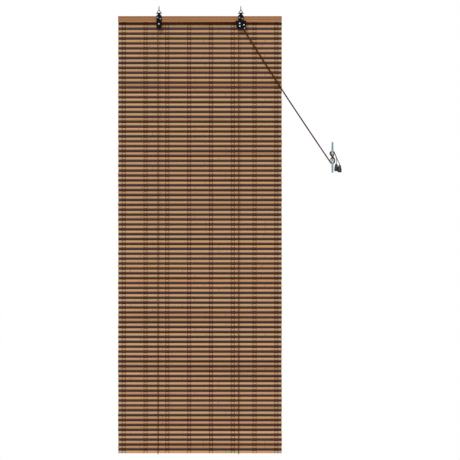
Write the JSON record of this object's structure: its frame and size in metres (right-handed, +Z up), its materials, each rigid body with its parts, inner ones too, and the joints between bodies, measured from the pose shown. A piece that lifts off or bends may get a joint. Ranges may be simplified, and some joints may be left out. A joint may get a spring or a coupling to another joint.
{
  "type": "bamboo roll up blind",
  "caption": "Woven mat of light and dark bamboo slats on a wooden rail, hung by wire hooks, lifted by cords that run over sheaves and through a cord lock to a wall cleat.",
  "frame": {"origin": "midway between the seats of the two hanging hooks", "axes": "+X along the rail towards the pull cords, +Y away from the room towards the window, +Z up"},
  "size_m": [0.8194, 0.0316, 1.6449],
  "materials": {
    "rail_wood": "satin varnish",
    "bamboo": "light and dark stained bamboo",
    "warp_thread": "twisted thread",
    "black_plate": "semi-gloss black",
    "bright_rivet": "bright",
    "screw_steel": "zinc plated",
    "hook_wire": "plated wire",
    "sheave_plastic": "moulded",
    "cam_metal": "die cast",
    "staple_wire": "plated wire",
    "lift_cord": "braided",
    "cleat_metal": "pale enamel",
    "bell_plastic": "moulded"
  },
  "bodies": {
    "blind": {"head_rail": "rail_wood", "bamboo_mat": "bamboo", "warp_threads": "warp_thread", "mat_staples": "staple_wire", "cord_staples": "staple_wire", "cord_knots": "lift_cord", "left_rear_plate": "black_plate", "left_front_plate": "black_plate", "left_plate_screws": "screw_steel", "left_sheave_rivet": "bright_rivet", "right_rear_plate": "black_plate", "right_front_plate": "black_plate", "right_plate_screws": "screw_steel", "upper_sheave_rivet": "bright_rivet", "lower_sheave_rivet": "bright_rivet", "lock_cam_rivet": "bright_rivet", "guide_post": "bright_rivet", "left_lift_cord": "lift_cord", "right_lift_cord": "lift_cord", "cleat": "cleat_metal", "left_bell": "bell_plastic", "right_bell": "bell_plastic", "left_bell_knot": "lift_cord", "right_bell_knot": "lift_cord"},
    "left_wheel": {"left_sheave": "sheave_plastic"},
    "upper_wheel": {"upper_sheave": "sheave_plastic"},
    "lower_wheel": {"lower_sheave": "sheave_plastic"},
    "cord_lock": {"lock_cam": "cam_metal"},
    "left_hanger": {"left_hook": "hook_wire"},
    "right_hanger": {"right_hook": "hook_wire"}
  },
  "joints": [
    {"name": "left_sheave_spin", "type": "hinge", "parent": "blind", "child": "left_wheel", "pos_m": [-0.15, -0.00825, -0.0635], "axis": [0, 1, 0], "continuous": true},
    {"name": "upper_sheave_spin", "type": "hinge", "parent": "blind", "child": "upper_wheel", "pos_m": [0.1455, -0.00825, -0.0616], "axis": [0, 1, 0], "continuous": true},
    {"name": "lower_sheave_spin", "type": "hinge", "parent": "blind", "child": "lower_wheel", "pos_m": [0.146, -0.00825, -0.0717], "axis": [0, 1, 0], "continuous": true},
    {"name": "lock_cam_swing", "type": "hinge", "parent": "blind", "child": "cord_lock", "pos_m": [0.1615, -0.00825, -0.0669], "axis": [0, 1, 0], "range_deg": [0, 40]},
    {"name": "left_hook_swing", "type": "hinge", "parent": "blind", "child": "left_hanger", "pos_m": [-0.15, -0.005, -0.0245], "axis": [1, 0, 0], "range_deg": [-75, 75]},
    {"name": "right_hook_swing", "type": "hinge", "parent": "blind", "child": "right_hanger", "pos_m": [0.15, -0.005, -0.0245], "axis": [1, 0, 0], "range_deg": [-75, 75]}
  ],
  "couplings": [
    {"joint": "upper_sheave_spin", "follows": "left_sheave_spin", "ratio": 1},
    {"joint": "lower_sheave_spin", "follows": "left_sheave_spin", "ratio": 1}
  ]
}
